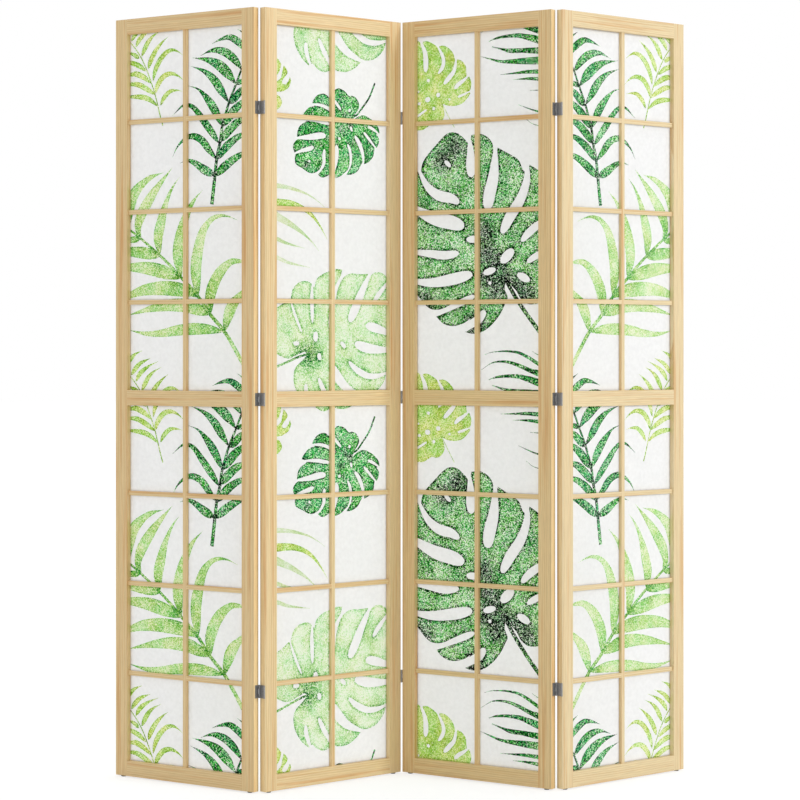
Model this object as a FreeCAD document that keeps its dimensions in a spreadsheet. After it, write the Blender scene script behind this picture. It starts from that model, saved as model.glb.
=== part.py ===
import FreeCAD, Part
import os
import re

import Sketcher

# Folding privacy screen: four framed panels of softwood with a lattice over printed paper.
# Row frame: +Z up, X along the foot line of the zigzag, the front of the screen towards -Y.
# Each panel is drawn in a frame of its own: x across it, y from its front to its back, z up from its foot.
# Each hinge is drawn in the frame of the gap between two panels that stand in one plane.

SIZES = {
    # panel frames
    "panel_width": 400,
    "panel_height": 1697,
    "frame_depth": 16,
    "stile_width": 34,
    "rail_height": 34,
    "arris_radius": 0.8,
    "half_fold_angle": 39.3,
    # lattice bars in front of the paper
    "bar_width": 10,
    "bar_depth": 7.6,
    "bar_setback": 4,
    "bar_housing": 5,
    # paper and the beads that hold it in its rebate
    "rebate_width": 6,
    "paper_thickness": 0.3,
    "paper_side_space": 1,
    "bead_end_space": 0.2,
    # dowels between rails and stiles
    "dowel_radius": 3,
    "dowel_length": 30,
    "dowel_spacing": 18,
    "dowel_clearance": 0.05,
    "dowel_end_space": 1,
    # glides nailed under the stiles
    "glide_radius": 5.8,
    "glide_height": 3,
    "glide_edge": 0.7,
    "glide_nail_radius": 1,
    "glide_nail_length": 14,
    "glide_nail_clearance": 0.05,
    # two-way hinges in the gaps between panels
    "hinge_gap": 3.6,
    "hinge_height": 28,
    "hinge_spacing": 632,
    "leaf_thickness": 0.9,
    "leaf_inset": 4,
    "pin_offset": 0.5,
    "pin_radius": 0.8,
    "pin_head_radius": 1.25,
    "pin_head_height": 0.4,
    "pin_clearance": 0.05,
    "knuckle_radius": 1.7,
    "knuckle_clearance": 0.3,
    # countersunk screws of the hinge leaves
    "screw_radius": 1.2,
    "screw_head_radius": 2.1,
    "screw_length": 14,
    "screw_tip": 3,
    "screw_spacing": 15,
    "screw_clearance": 0.05,
    "cut_overrun": 0.5,
}

PANELS = (1, 2, 3, 4)
SIDES = {"left": -1, "right": 1}
CROSS_BARS = 3
HINGE_PLACES = (-1, 0, 1)

# Places in a panel's frame, as formulas of the sizes above.
INNER_EDGE = "(panel_width / 2 - stile_width)"
OPENING = "((panel_height - 3 * rail_height) / 2)"
RAIL_FEET = {
    "bottom_rail": "0",
    "middle_rail": f"(rail_height + {OPENING})",
    "top_rail": "(panel_height - rail_height)",
}
OPENING_FEET = ("rail_height", f"(2 * rail_height + {OPENING})")
CELL = f"(({OPENING} - {CROSS_BARS} * bar_width) / {CROSS_BARS + 1})"
FRONT = "(-frame_depth / 2)"
BAR_FRONT = f"({FRONT} + bar_setback)"
BAR_LAP = f"({BAR_FRONT} + bar_depth / 2)"
REBATE_FLOOR = f"({BAR_FRONT} + bar_depth)"
PAPER_BACK = f"({REBATE_FLOOR} + paper_thickness)"
GAP_CENTRE = "((panel_width + hinge_gap) / 2)"

# Places in a hinge's frame.
PIN_LINE = "(frame_depth / 2 + pin_offset)"
SCREW_LINE = "((leaf_inset + pin_offset - knuckle_radius) / 2)"
KNUCKLE = "(hinge_height / 3)"

doc = FreeCAD.newDocument("folding_screen")
sheet = doc.addObject("Spreadsheet::Sheet", "Sizes")
for row, (alias, size) in enumerate(SIZES.items(), start=1):
    sheet.set(f"A{row}", alias)
    sheet.set(f"B{row}", str(size))
    sheet.setAlias(f"B{row}", alias)
doc.recompute()

nodes = []
cuts = []


def formula(words):
    """Points each size that the words name at its cell of the sheet."""
    return re.sub(r"[a-z_]+", lambda m: f"Sizes.{m[0]}" if m[0] in SIZES else m[0], words)


def bind(thing, name, words):
    """Ties a property or a constraint to a formula."""
    thing.setExpression(name, formula(words))


def value(words):
    """The present value of a formula."""
    return float(sheet.evalExpression(formula(words)))


# Sketches and features


def new_body(name):
    body = doc.addObject("PartDesign::Body", name)
    body.Label = name
    body.AllowCompound = True
    return body


def origin_plane(body, role):
    return next(plane for plane in body.Origin.OriginFeatures if plane.Role == role)


def new_sketch(body, name, role, height="0", across="0", along="0"):
    """A sketch on one of the body's own planes, moved out along its normal and within the plane."""
    sketch = body.newObject("Sketcher::SketchObject", name)
    sketch.AttachmentSupport = (origin_plane(body, role), [""])
    sketch.MapMode = "FlatFace"
    for axis, words in zip("xyz", (across, along, height)):
        if words != "0":
            bind(sketch, f"AttachmentOffset.Base.{axis}", words)
    return sketch


def hold(sketch, constraint, words):
    """Adds a dimension to the sketch and ties it to its formula."""
    number = sketch.addConstraint(constraint)
    bind(sketch, f"Constraints[{number}]", words)


def add_rectangle(sketch, left, bottom, width, height):
    first = sketch.GeometryCount
    x, y, w, h = (value(words) for words in (left, bottom, width, height))
    corners = [FreeCAD.Vector(*p, 0) for p in ((x, y), (x + w, y), (x + w, y + h), (x, y + h))]
    for n, corner in enumerate(corners):
        sketch.addGeometry(Part.LineSegment(corner, corners[(n + 1) % 4]), False)
    for n in range(4):
        sketch.addConstraint(Sketcher.Constraint("Coincident", first + n, 2, first + (n + 1) % 4, 1))
        turn = "Vertical" if n % 2 else "Horizontal"
        sketch.addConstraint(Sketcher.Constraint(turn, first + n))
    hold(sketch, Sketcher.Constraint("DistanceX", -1, 1, first, 1, x), left)
    hold(sketch, Sketcher.Constraint("DistanceY", -1, 1, first, 1, y), bottom)
    hold(sketch, Sketcher.Constraint("DistanceX", first, 1, first, 2, w), width)
    hold(sketch, Sketcher.Constraint("DistanceY", first + 1, 1, first + 1, 2, h), height)


def add_circle(sketch, across, up, radius):
    x, y, r = (value(words) for words in (across, up, radius))
    centre = FreeCAD.Vector(x, y, 0)
    circle = sketch.addGeometry(Part.Circle(centre, FreeCAD.Vector(0, 0, 1), r), False)
    hold(sketch, Sketcher.Constraint("DistanceX", -1, 1, circle, 3, x), across)
    hold(sketch, Sketcher.Constraint("DistanceY", -1, 1, circle, 3, y), up)
    hold(sketch, Sketcher.Constraint("Radius", circle, r), radius)


def add_outline(sketch, points):
    """A closed outline of straight lines through points given as pairs of formulas."""
    first = sketch.GeometryCount
    places = [(value(x), value(y)) for x, y in points]
    for n, place in enumerate(places):
        after = places[(n + 1) % len(places)]
        line = Part.LineSegment(FreeCAD.Vector(*place, 0), FreeCAD.Vector(*after, 0))
        sketch.addGeometry(line, False)
    for n, (x, y) in enumerate(points):
        after = (n + 1) % len(points)
        sketch.addConstraint(Sketcher.Constraint("Coincident", first + n, 2, first + after, 1))
        hold(sketch, Sketcher.Constraint("DistanceX", -1, 1, first + n, 1, places[n][0]), x)
        hold(sketch, Sketcher.Constraint("DistanceY", -1, 1, first + n, 1, places[n][1]), y)


def pad(body, name, sketch, length, backwards=False):
    feature = body.newObject("PartDesign::Pad", name)
    feature.Profile = sketch
    feature.Reversed = backwards
    bind(feature, "Length", length)
    return feature


def pocket(body, name, sketch, depth, backwards=False):
    feature = body.newObject("PartDesign::Pocket", name)
    feature.Profile = sketch
    feature.Reversed = backwards
    bind(feature, "Length", depth)
    cuts.append(feature)
    return feature


def revolve(body, name, sketch, axis):
    feature = body.newObject("PartDesign::Revolution", name)
    feature.Profile = sketch
    feature.ReferenceAxis = (sketch, [axis])
    feature.Angle = 360
    return feature


def ease_edges(body, name, feature, wanted):
    """Rounds the edges of a feature whose middle point the test accepts."""
    doc.recompute()
    edges = feature.Shape.Edges
    names = [f"Edge{n}" for n, edge in enumerate(edges, start=1) if wanted(edge)]
    fillet = body.newObject("PartDesign::Fillet", name)
    fillet.Base = (feature, names)
    bind(fillet, "Radius", "arris_radius")
    return fillet


def middle(edge):
    return edge.valueAt((edge.FirstParameter + edge.LastParameter) / 2)


# Where panels stand


def stand(thing, panel):
    """Puts a thing drawn in a panel's frame where that panel stands in the zigzag."""
    turn = 1 if panel % 2 == 0 else -1
    place = panel - (len(PANELS) + 1) / 2
    pitch = (
        "(panel_width + hinge_gap) * cos(half_fold_angle * 1deg)"
        " + (frame_depth + 2 * pin_offset) * sin(half_fold_angle * 1deg)"
    )
    thing.Placement = FreeCAD.Placement(FreeCAD.Vector(), FreeCAD.Rotation(FreeCAD.Vector(0, 0, 1), turn))
    bind(thing, "Placement.Base.x", f"{place} * ({pitch})")
    bind(thing, "Placement.Base.z", "glide_height")
    bind(thing, "Placement.Rotation.Angle", f"{turn} * half_fold_angle")


def keep(thing, panel):
    stand(thing, panel)
    nodes.append(thing)


def copy_of(master, x="0", y="0", z="0", rotation=FreeCAD.Rotation()):
    """One more of a piece of hardware, at a place given by formulas."""
    link = doc.addObject("App::Link", f"{master.Name}_copy")
    link.LinkedObject = master
    link.Placement = FreeCAD.Placement(FreeCAD.Vector(), rotation)
    for axis, words in zip("xyz", (x, y, z)):
        if words != "0":
            bind(link, f"Placement.Base.{axis}", words)
    return link


def keep_group(name, panel, links):
    """A node of several like pieces that one panel or link carries."""
    group = doc.addObject("Part::Compound", name)
    group.Label = name
    group.Links = links
    keep(group, panel)


# Frame members


def cross_bar_feet():
    """The lower edge of each cross bar of both openings."""
    for foot in OPENING_FEET:
        for number in range(1, CROSS_BARS + 1):
            yield f"({foot} + {number} * {CELL} + {number - 1} * bar_width)"


def dowel_heights(rail_feet):
    """The height of each dowel at one end of the rails that stand at these feet."""
    for foot in rail_feet:
        for way in (-1, 1):
            yield f"({foot} + rail_height / 2 + {way} * dowel_spacing / 2)"


def hinge_centre(place):
    return f"(panel_height / 2 + {place} * hinge_spacing)"


def screw_heights():
    """The height of each hinge screw along one edge of a panel."""
    for place in HINGE_PLACES:
        for way in (-1, 1):
            yield f"({hinge_centre(place)} + {way} * screw_spacing / 2)"


def rebate(body, left, width, foot, height):
    """Cuts a rectangle of the back away, down to the plane that the paper lies on."""
    sketch = new_sketch(body, "rebate_sketch", "XZ_Plane", f"-{REBATE_FLOOR}")
    for bottom, tall in zip(foot, height):
        add_rectangle(sketch, left, bottom, width, tall)
    pocket(body, "rebate", sketch, f"frame_depth / 2 - {REBATE_FLOOR} + cut_overrun")


def make_stile(panel, side, hinged):
    """An upright of the frame, with sockets for the cross bars and holes for dowels, nail and screws."""
    way = SIDES[side]
    body = new_body(f"panel_{panel}_{side}_stile")
    outline = new_sketch(body, "section", "XY_Plane")
    left = INNER_EDGE if way > 0 else "-panel_width / 2"
    add_rectangle(outline, left, FRONT, "stile_width", "frame_depth")
    bar = pad(body, "upright", outline, "panel_height")
    outer = way * value("panel_width / 2")
    ease_edges(body, "eased_arrises", bar, lambda edge: abs(middle(edge).x - outer) < value("arris_radius"))

    rebate_left = INNER_EDGE if way > 0 else f"-{INNER_EDGE} - rebate_width"
    feet = [f"{foot} - rebate_width" for foot in OPENING_FEET]
    rebate(body, rebate_left, "rebate_width", feet, [f"{OPENING} + 2 * rebate_width"] * len(feet))

    sockets = new_sketch(body, "socket_sketch", "XZ_Plane", f"-{BAR_FRONT}")
    socket_left = INNER_EDGE if way > 0 else f"-{INNER_EDGE} - bar_housing"
    for foot in cross_bar_feet():
        add_rectangle(sockets, socket_left, foot, "bar_housing", "bar_width")
    pocket(body, "bar_sockets", sockets, "bar_depth + cut_overrun")

    holes = new_sketch(body, "dowel_sketch", "YZ_Plane", f"{way} * {INNER_EDGE}")
    for height in dowel_heights(RAIL_FEET.values()):
        add_circle(holes, "0", height, "dowel_radius + dowel_clearance")
    pocket(body, "dowel_holes", holes, "dowel_length / 2 + dowel_end_space", way > 0)

    nail = new_sketch(body, "nail_sketch", "XY_Plane")
    nail_place = f"{way} * (panel_width / 2 - stile_width / 2)"
    add_circle(nail, nail_place, "0", "glide_nail_radius + glide_nail_clearance")
    pocket(body, "nail_hole", nail, "glide_nail_length", True)

    if hinged:
        pilots = new_sketch(body, "screw_sketch", "YZ_Plane", f"{way} * panel_width / 2")
        for height in screw_heights():
            add_circle(pilots, f"{way} * {SCREW_LINE}", height, "screw_radius + screw_clearance")
        pocket(body, "screw_holes", pilots, "screw_length", way < 0)
    keep(body, panel)


def make_rail(panel, name):
    """A cross member of the frame, doweled between the stiles, with a socket for each upright bar."""
    foot = RAIL_FEET[name]
    body = new_body(f"panel_{panel}_{name}")
    outline = new_sketch(body, "face", "XZ_Plane", f"-{FRONT}")
    add_rectangle(outline, f"-{INNER_EDGE}", foot, f"2 * {INNER_EDGE}", "rail_height")
    pad(body, "rail", outline, "frame_depth", True)

    edges = {"bottom_rail": ("upper",), "middle_rail": ("lower", "upper"), "top_rail": ("lower",)}[name]
    rebate_feet = [f"{foot} + rail_height - rebate_width" if e == "upper" else foot for e in edges]
    rebate(body, f"-{INNER_EDGE}", f"2 * {INNER_EDGE}", rebate_feet, ["rebate_width"] * len(edges))

    socket = new_sketch(body, "socket_sketch", "XZ_Plane", f"-{BAR_FRONT}")
    for edge in edges:
        socket_foot = f"{foot} + rail_height - bar_housing" if edge == "upper" else foot
        add_rectangle(socket, "-bar_width / 2", socket_foot, "bar_width", "bar_housing")
    pocket(body, "bar_sockets", socket, "bar_depth + cut_overrun")

    for side, way in SIDES.items():
        holes = new_sketch(body, f"{side}_dowel_sketch", "YZ_Plane", f"{way} * {INNER_EDGE}")
        for height in dowel_heights([foot]):
            add_circle(holes, "0", height, "dowel_radius + dowel_clearance")
        pocket(body, f"{side}_dowel_holes", holes, "dowel_length / 2 + dowel_end_space", way < 0)
    keep(body, panel)


# Lattice, paper and beads


def make_upright_bars(panel):
    """The bar up the middle of each opening, notched behind where it laps over the cross bars."""
    body = new_body(f"panel_{panel}_upright_bars")
    faces = new_sketch(body, "faces", "XZ_Plane", f"-{BAR_FRONT}")
    for foot in OPENING_FEET:
        height = f"{OPENING} + 2 * bar_housing"
        add_rectangle(faces, "-bar_width / 2", f"{foot} - bar_housing", "bar_width", height)
    pad(body, "bars", faces, "bar_depth", True)
    notches = new_sketch(body, "lap_sketch", "XZ_Plane", f"-{BAR_LAP}")
    for foot in cross_bar_feet():
        add_rectangle(notches, "-bar_width / 2 - cut_overrun", foot, "bar_width + 2 * cut_overrun", "bar_width")
    pocket(body, "half_laps", notches, "bar_depth / 2 + cut_overrun")
    keep(body, panel)


def make_cross_bars(panel):
    """The short bars between the stiles, notched in front where the upright bar laps over them."""
    body = new_body(f"panel_{panel}_cross_bars")
    faces = new_sketch(body, "faces", "XZ_Plane", f"-{BAR_FRONT}")
    for foot in cross_bar_feet():
        left = f"-{INNER_EDGE} - bar_housing"
        add_rectangle(faces, left, foot, f"2 * {INNER_EDGE} + 2 * bar_housing", "bar_width")
    pad(body, "bars", faces, "bar_depth", True)
    notch = new_sketch(body, "lap_sketch", "XZ_Plane", f"-{BAR_LAP}")
    add_rectangle(notch, "-bar_width / 2", "rail_height", "bar_width", "panel_height - 2 * rail_height")
    pocket(body, "half_laps", notch, "bar_depth / 2 + cut_overrun", True)
    keep(body, panel)


def make_paper(panel):
    """A sheet of paper behind the lattice of each opening, lying on the floor of the rebate."""
    body = new_body(f"panel_{panel}_paper_sheets")
    faces = new_sketch(body, "faces", "XZ_Plane", f"-{REBATE_FLOOR}")
    margin = "(rebate_width - paper_side_space)"
    for foot in OPENING_FEET:
        width = f"2 * {INNER_EDGE} + 2 * {margin}"
        add_rectangle(faces, f"-{INNER_EDGE} - {margin}", f"{foot} - {margin}", width, f"{OPENING} + 2 * {margin}")
    pad(body, "sheets", faces, "paper_thickness", True)
    keep(body, panel)


def make_beads(panel):
    """The strips that close each rebate behind the paper, flush with the back of the frame."""
    body = new_body(f"panel_{panel}_retaining_beads")
    faces = new_sketch(body, "faces", "XZ_Plane", f"-{PAPER_BACK}")
    for foot in OPENING_FEET:
        for left in (f"-{INNER_EDGE} - rebate_width", INNER_EDGE):
            add_rectangle(faces, left, f"{foot} - rebate_width", "rebate_width", f"{OPENING} + 2 * rebate_width")
        for bottom in (f"{foot} - rebate_width", f"{foot} + {OPENING}"):
            left = f"-{INNER_EDGE} + bead_end_space"
            add_rectangle(faces, left, bottom, f"2 * {INNER_EDGE} - 2 * bead_end_space", "rebate_width")
    pad(body, "beads", faces, f"frame_depth / 2 - {PAPER_BACK}", True)
    keep(body, panel)


# Hardware, drawn once and used many times


def make_dowel():
    body = new_body("frame_dowel")
    end = new_sketch(body, "end", "YZ_Plane", "-dowel_length / 2")
    add_circle(end, "0", "0", "dowel_radius")
    pad(body, "dowel", end, "dowel_length")
    return body


def make_glide():
    """A round glide with a nail, its top at the foot of the stile."""
    body = new_body("glide")
    half = new_sketch(body, "half_section", "XZ_Plane")
    add_outline(
        half,
        [
            ("0", "-glide_height"),
            ("glide_radius - glide_edge", "-glide_height"),
            ("glide_radius", "-glide_height + glide_edge"),
            ("glide_radius", "0"),
            ("glide_nail_radius", "0"),
            ("glide_nail_radius", "glide_nail_length - 2 * glide_nail_radius"),
            ("0", "glide_nail_length"),
        ],
    )
    revolve(body, "turned_glide", half, "V_Axis")
    return body


def make_fixed_leaf():
    """The leaf screwed to the left panel of a gap, with two knuckles round the pin at the back."""
    body = new_body("fixed_leaf")
    section = new_sketch(body, "plate_sketch", "XY_Plane", "-hinge_height / 2")
    length = f"{PIN_LINE} + frame_depth / 2 - leaf_inset"
    add_rectangle(section, "-hinge_gap / 2", f"{FRONT} + leaf_inset", "leaf_thickness", length)
    pad(body, "plate", section, "hinge_height")
    barrel = new_sketch(body, "barrel_sketch", "XY_Plane", "-hinge_height / 2")
    add_circle(barrel, "0", PIN_LINE, "knuckle_radius")
    pad(body, "barrel", barrel, "hinge_height")

    reach = "(knuckle_radius + knuckle_clearance)"
    gap = new_sketch(body, "gap_sketch", "XY_Plane", f"-({KNUCKLE} + knuckle_clearance) / 2")
    add_rectangle(gap, f"-{reach}", f"{PIN_LINE} - {reach}", f"2 * {reach}", f"2 * {reach}")
    pocket(body, "knuckle_gap", gap, f"{KNUCKLE} + knuckle_clearance", True)
    bore = new_sketch(body, "bore_sketch", "XY_Plane", "-hinge_height / 2")
    add_circle(bore, "0", PIN_LINE, "pin_radius + pin_clearance")
    pocket(body, "bore", bore, "hinge_height", True)

    sink = new_sketch(body, "screw_hole_sketch", "XY_Plane", "screw_spacing / 2", along=SCREW_LINE)
    outer = "-hinge_gap / 2"
    inner = "(-hinge_gap / 2 + leaf_thickness)"
    add_outline(
        sink,
        [
            (f"{outer} - cut_overrun", "0"),
            (f"{outer} - cut_overrun", "screw_radius + screw_clearance"),
            (outer, "screw_radius + screw_clearance"),
            (inner, "screw_head_radius + screw_clearance"),
            (f"{inner} + cut_overrun", "screw_head_radius + screw_clearance"),
            (f"{inner} + cut_overrun", "0"),
        ],
    )
    groove = body.newObject("PartDesign::Groove", "screw_hole")
    groove.Profile = sink
    groove.ReferenceAxis = (sink, ["H_Axis"])
    groove.Angle = 360
    cuts.append(groove)
    second = body.newObject("PartDesign::Mirrored", "second_screw_hole")
    second.Originals = [groove]
    second.MirrorPlane = (origin_plane(body, "XY_Plane"), [""])
    body.Tip = second
    cuts.append(second)
    return body


def make_middle_leaf():
    """The loose leaf between the two fixed ones, with a knuckle round each of the two pins."""
    body = new_body("middle_leaf")
    end = f"({PIN_LINE} - knuckle_radius - knuckle_clearance)"
    section = new_sketch(body, "plate_sketch", "XY_Plane", "-hinge_height / 2")
    add_rectangle(section, "-leaf_thickness / 2", f"-{end}", "leaf_thickness", f"2 * {end}")
    pad(body, "plate", section, "hinge_height")

    height = f"({KNUCKLE} - knuckle_clearance)"
    tongue = new_sketch(body, "tongue_sketch", "XY_Plane", f"-{height} / 2")
    add_rectangle(tongue, "-leaf_thickness / 2", f"-{PIN_LINE}", "leaf_thickness", f"2 * {PIN_LINE}")
    pad(body, "tongue", tongue, height)
    knuckles = new_sketch(body, "knuckle_sketch", "XY_Plane", f"-{height} / 2")
    bores = new_sketch(body, "bore_sketch", "XY_Plane", f"-{height} / 2")
    for way in (-1, 1):
        add_circle(knuckles, "0", f"{way} * {PIN_LINE}", "knuckle_radius")
        add_circle(bores, "0", f"{way} * {PIN_LINE}", "pin_radius + pin_clearance")
    pad(body, "knuckles", knuckles, height)
    pocket(body, "bores", bores, height, True)
    return body


def make_pin():
    """A hinge pin with a small head at each end, a little longer than its knuckles."""
    body = new_body("hinge_pin")
    half = new_sketch(body, "half_section", "XZ_Plane")
    shoulder = "(hinge_height + knuckle_clearance) / 2"
    top = f"({shoulder} + pin_head_height)"
    add_outline(
        half,
        [
            ("0", f"-{top}"),
            ("pin_head_radius", f"-{top}"),
            ("pin_head_radius", f"-{shoulder}"),
            ("pin_radius", f"-{shoulder}"),
            ("pin_radius", shoulder),
            ("pin_head_radius", shoulder),
            ("pin_head_radius", top),
            ("0", top),
        ],
    )
    revolve(body, "turned_pin", half, "V_Axis")
    return body


def make_screw():
    """A countersunk wood screw pointing down, its head's face at zero."""
    body = new_body("hinge_screw")
    half = new_sketch(body, "half_section", "XZ_Plane")
    add_outline(
        half,
        [
            ("0", "0"),
            ("screw_head_radius", "0"),
            ("screw_radius", "-leaf_thickness"),
            ("screw_radius", "-(screw_length - screw_tip)"),
            ("0", "-screw_length"),
        ],
    )
    revolve(body, "turned_screw", half, "V_Axis")
    return body


# Assembly

dowel = make_dowel()
glide = make_glide()
fixed_leaf = make_fixed_leaf()
middle_leaf = make_middle_leaf()
hinge_pin = make_pin()
hinge_screw = make_screw()

HALF_TURN = FreeCAD.Rotation(FreeCAD.Vector(0, 0, 1), 180)
POINT_LEFT = FreeCAD.Rotation(FreeCAD.Vector(0, 1, 0), 90)


def edge_hardware(panel, side):
    """The fixed leaves on one edge of a panel, and the screws that hold them."""
    way = SIDES[side]
    flip = FreeCAD.Rotation() if way > 0 else HALF_TURN
    centre = f"{way} * {GAP_CENTRE}"
    leaves = [copy_of(fixed_leaf, centre, z=hinge_centre(place), rotation=flip) for place in HINGE_PLACES]
    head = f"{way} * ({GAP_CENTRE} - hinge_gap / 2 + leaf_thickness)"
    screws = [
        copy_of(hinge_screw, head, f"{way} * {SCREW_LINE}", height, flip.multiply(POINT_LEFT))
        for height in screw_heights()
    ]
    keep_group(f"panel_{panel}_{side}_hinge_leaves", panel, leaves)
    return screws


def make_panel(panel):
    hinged = {"left": panel > PANELS[0], "right": panel < PANELS[-1]}
    for side in SIDES:
        make_stile(panel, side, hinged[side])
    for name in RAIL_FEET:
        make_rail(panel, name)
    make_upright_bars(panel)
    make_cross_bars(panel)
    make_paper(panel)
    make_beads(panel)
    dowels = [
        copy_of(dowel, f"{way} * {INNER_EDGE}", z=height)
        for way in SIDES.values()
        for height in dowel_heights(RAIL_FEET.values())
    ]
    keep_group(f"panel_{panel}_dowels", panel, dowels)
    glides = [copy_of(glide, f"{way} * (panel_width / 2 - stile_width / 2)") for way in SIDES.values()]
    keep_group(f"panel_{panel}_glides", panel, glides)
    screws = [screw for side in SIDES if hinged[side] for screw in edge_hardware(panel, side)]
    keep_group(f"panel_{panel}_hinge_screws", panel, screws)


def make_link(left_panel):
    """The middle leaves and pins of one fold. They lie on the even panel beside the fold."""
    panel = left_panel + left_panel % 2
    way = 1 if panel == left_panel else -1
    centre = f"{way} * {GAP_CENTRE}"
    name = f"fold_{left_panel}_{left_panel + 1}"
    leaves = [copy_of(middle_leaf, centre, z=hinge_centre(place)) for place in HINGE_PLACES]
    keep_group(f"{name}_middle_leaves", panel, leaves)
    pins = [
        copy_of(hinge_pin, centre, f"{turn} * {PIN_LINE}", hinge_centre(place))
        for place in HINGE_PLACES
        for turn in (-1, 1)
    ]
    keep_group(f"{name}_hinge_pins", panel, pins)


for number in PANELS:
    make_panel(number)
for number in PANELS[:-1]:
    make_link(number)
doc.recompute()

# Checks and files

for thing in doc.Objects:
    if {"Invalid", "Error"} & set(thing.State):
        raise SystemExit(f"{thing.Label} did not rebuild: {thing.State}")
for cut in cuts:
    if cut.Shape.Volume >= cut.BaseFeature.Shape.Volume:
        raise SystemExit(f"{cut.Label} removes nothing")
os.makedirs("parts", exist_ok=True)
for node in nodes:
    if node.Shape.isNull() or not node.Shape.isValid():
        raise SystemExit(f"{node.Label} has no valid shape")
for node in nodes:
    node.Shape.exportStep(os.path.join("parts", f"{node.Label}.step"))
    print(node.Label, len(node.Shape.Solids), round(node.Shape.Volume, 1))
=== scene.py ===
import math

import bpy
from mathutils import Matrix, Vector
from mathutils.geometry import delaunay_2d_cdt
from mathutils.kdtree import KDTree


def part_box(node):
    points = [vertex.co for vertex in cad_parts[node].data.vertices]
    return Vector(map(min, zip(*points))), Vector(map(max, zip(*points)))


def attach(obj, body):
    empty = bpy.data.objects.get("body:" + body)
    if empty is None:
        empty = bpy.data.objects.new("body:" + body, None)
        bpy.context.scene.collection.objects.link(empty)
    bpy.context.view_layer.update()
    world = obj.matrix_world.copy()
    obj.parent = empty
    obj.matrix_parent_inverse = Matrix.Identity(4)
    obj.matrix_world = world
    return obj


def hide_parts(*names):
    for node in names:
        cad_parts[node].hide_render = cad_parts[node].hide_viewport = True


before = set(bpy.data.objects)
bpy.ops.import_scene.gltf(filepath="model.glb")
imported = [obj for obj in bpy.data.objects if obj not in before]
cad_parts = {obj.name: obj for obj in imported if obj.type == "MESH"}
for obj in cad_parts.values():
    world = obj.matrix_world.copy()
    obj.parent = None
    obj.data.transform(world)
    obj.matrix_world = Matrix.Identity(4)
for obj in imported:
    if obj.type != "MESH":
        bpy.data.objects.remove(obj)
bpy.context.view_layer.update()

# Folding privacy screen: finishes, printed paper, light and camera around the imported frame.
# Lengths are in metres, apart from those of the print, which are in millimetres.

MM = 0.001

PANELS = (1, 2, 3, 4)
HALF_FOLD = math.radians(39.3)
PANEL_HALF_WIDTH = 0.2
OPENING_HALF_WIDTH = 0.166
BAR_WIDTH = 0.01
STANDING_MEMBERS = ("left_stile", "right_stile", "upright_bars")
LYING_MEMBERS = ("bottom_rail", "middle_rail", "top_rail", "cross_bars")
WHITE = (1.0, 1.0, 1.0, 1.0)


def colour(red, green, blue):
    """A colour given as the 0 to 255 screen values, as the linear values that shaders take."""
    def linear(value):
        share = value / 255
        return share / 12.92 if share <= 0.04045 else ((share + 0.055) / 1.055) ** 2.4
    return (linear(red), linear(green), linear(blue), 1.0)


def panel_centre(panel):
    """Where the panel's upright middle line stands, from its two glides."""
    low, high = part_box(f"panel_{panel}_glides")
    return (low + high) / 2


def panel_turn(panel):
    """How far the panel is turned about the upright axis."""
    return -HALF_FOLD if panel % 2 else HALF_FOLD


def placed(name, data):
    """A new object in the scene."""
    made = bpy.data.objects.new(name, data)
    bpy.context.scene.collection.objects.link(made)
    return made


# Node helpers

def add(tree, kind, values=None, **settings):
    """A new shader node. values maps an input's name or number to a value or to a socket."""
    made = tree.nodes.new("ShaderNode" + kind)
    for name, setting in settings.items():
        setattr(made, name, setting)
    for key, value in (values or {}).items():
        if isinstance(value, bpy.types.NodeSocket):
            tree.links.new(value, made.inputs[key])
        else:
            made.inputs[key].default_value = value
    return made


def calculate(tree, operation, *values):
    """A Math node on one to three values or sockets."""
    return add(tree, "Math", dict(enumerate(values)), operation=operation).outputs[0]


def spread(tree, value, low, high, to_low=0.0, to_high=1.0, curve="LINEAR"):
    """A value taken from one range to another and kept inside it."""
    values = {"Value": value, "From Min": low, "From Max": high, "To Min": to_low, "To Max": to_high}
    return add(tree, "MapRange", values, clamp=True, interpolation_type=curve).outputs["Result"]


def here(tree):
    """Where the point lies, in metres."""
    return add(tree, "TexCoord").outputs["Object"]


def parts_of(tree, place):
    """The three parts of a place."""
    return add(tree, "SeparateXYZ", {0: place}).outputs


def joined(tree, *parts):
    """A place joined from its three parts."""
    return add(tree, "CombineXYZ", dict(enumerate(parts))).outputs[0]


def noise(tree, place, scale=1.0, detail=2.0, seed=None):
    """Cloudy noise from 0 to 1, other for each seed."""
    values = {"Vector": place, "Scale": scale, "Detail": detail}
    if seed is None:
        return add(tree, "TexNoise", values).outputs["Fac"]
    values["W"] = seed
    return add(tree, "TexNoise", values, noise_dimensions="4D").outputs["Fac"]


def bump(tree, height, strength, distance):
    """The relief of a height, for a shader's normal."""
    values = {"Height": height, "Strength": strength, "Distance": distance}
    return add(tree, "Bump", values).outputs[0]


def blend_colours(tree, share, first, second, kind="MIX"):
    """Two colours mixed by a share."""
    values = {0: share, 6: first, 7: second}
    return add(tree, "Mix", values, data_type="RGBA", blend_type=kind).outputs[2]


def toned(tree, tone, factor):
    """A colour multiplied by a factor."""
    grey = add(tree, "CombineColor", {0: factor, 1: factor, 2: factor}).outputs[0]
    return blend_colours(tree, 1.0, tone, grey, "MULTIPLY")


def new_material(name):
    """An empty node material, and its tree."""
    material = bpy.data.materials.new(name)
    material.use_nodes = True
    material.node_tree.nodes.clear()
    return material, material.node_tree


def principled(tree, **values):
    """A Principled shader joined to the material's output; names use _ for a space."""
    named = {name.replace("_", " "): value for name, value in values.items()}
    shader = add(tree, "BsdfPrincipled", named)
    add(tree, "OutputMaterial", {"Surface": shader.outputs[0]})


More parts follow.
